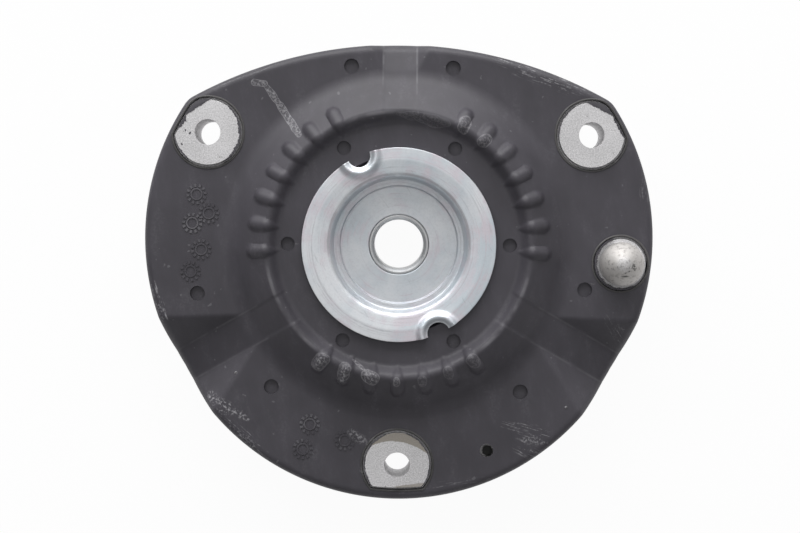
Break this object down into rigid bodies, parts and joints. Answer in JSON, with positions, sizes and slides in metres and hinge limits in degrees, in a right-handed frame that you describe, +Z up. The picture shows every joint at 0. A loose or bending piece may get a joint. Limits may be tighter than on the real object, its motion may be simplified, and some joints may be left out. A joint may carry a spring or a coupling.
{
  "type": "strut mount",
  "caption": "Rubber-sealed aluminium top mount for a suspension strut, with bolt pads, a locating pin, a pressed steel cup and a sleeve for the strut rod.",
  "frame": {"origin": "on the strut rod's axis, in the plane of the bolt pads", "axes": "+Z up along the rod axis toward the car body, +Y toward the flattened side of the outline, +X toward the locating pin"},
  "size_m": [0.1694, 0.1516, 0.041],
  "materials": {
    "cast_aluminium": "die-cast, machined on the pads",
    "rubber": "matt moulded rubber",
    "zinc_steel": "zinc-plated pressed sheet",
    "plate_steel": "zinc-plated plate",
    "sleeve_steel": "turned steel"
  },
  "bodies": {
    "root": {"carrier": "cast_aluminium", "rubber_body": "rubber", "upper_cup": "zinc_steel", "lower_plate": "plate_steel", "inner_sleeve": "sleeve_steel"}
  },
  "joints": []
}
